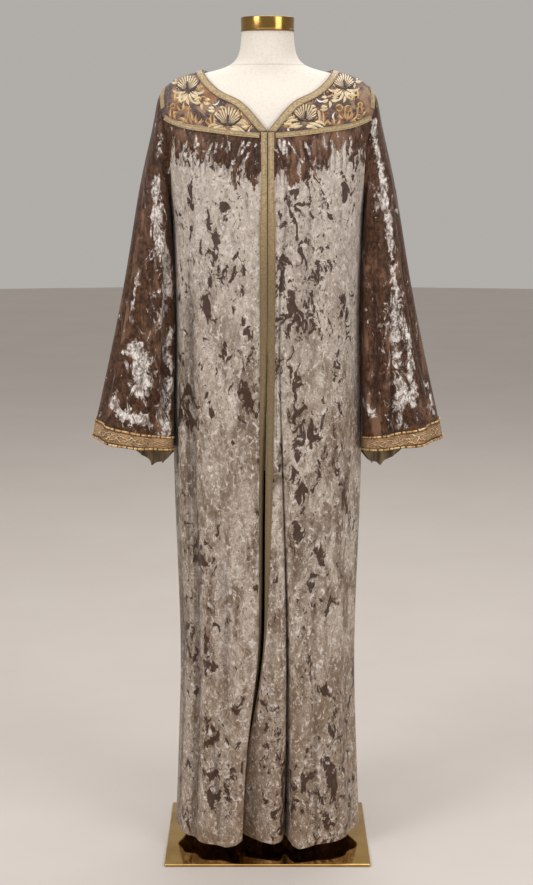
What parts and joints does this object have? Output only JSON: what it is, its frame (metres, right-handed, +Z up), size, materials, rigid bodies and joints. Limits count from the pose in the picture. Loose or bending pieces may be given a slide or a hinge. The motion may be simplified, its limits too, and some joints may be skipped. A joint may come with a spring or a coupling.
{
  "type": "jalabiya on a dress form",
  "caption": "Long open-front velvet jalabiya with an embroidered yoke, ribbon bands and bell sleeves, on a limbless dress form with a brass stand.",
  "frame": {"origin": "middle of the base plate's underside, on the floor", "axes": "+Z up, the front faces -Y, +X is the wearer's left"},
  "size_m": [0.6552, 0.3, 1.5505],
  "materials": {
    "velvet": "crushed velvet, taupe with dark brown bruises and a silvery sheen",
    "embroidery": "plum brown cloth, embroidered with cream and gold motifs",
    "ribbon": "woven ribbon of olive gold, stitched along both edges",
    "brocade": "bronze brocade with braid of gold along both edges",
    "satin": "khaki satin facing",
    "jersey": "cream jersey stretched over the form",
    "brass": "polished brass"
  },
  "bodies": {
    "root": {"base_plate": "brass", "stand_pole": "brass", "neck_cap": "brass", "dress_form": "jersey", "yoke_front_left": "embroidery", "yoke_front_right": "embroidery", "yoke_back": "embroidery", "neck_band_left": "ribbon", "neck_band_right": "ribbon", "neck_band_back": "ribbon", "yoke_band_left": "ribbon", "yoke_band_right": "ribbon", "yoke_band_back": "ribbon", "armhole_band_left": "ribbon", "armhole_band_right": "ribbon", "placket_left": "ribbon", "placket_right": "ribbon", "front_left": "velvet", "front_right": "velvet", "back": "velvet", "sleeve_left": "velvet", "sleeve_right": "velvet", "cuff_left": "brocade", "cuff_right": "brocade", "cuff_facing_left": "satin", "cuff_facing_right": "satin"}
  },
  "joints": []
}
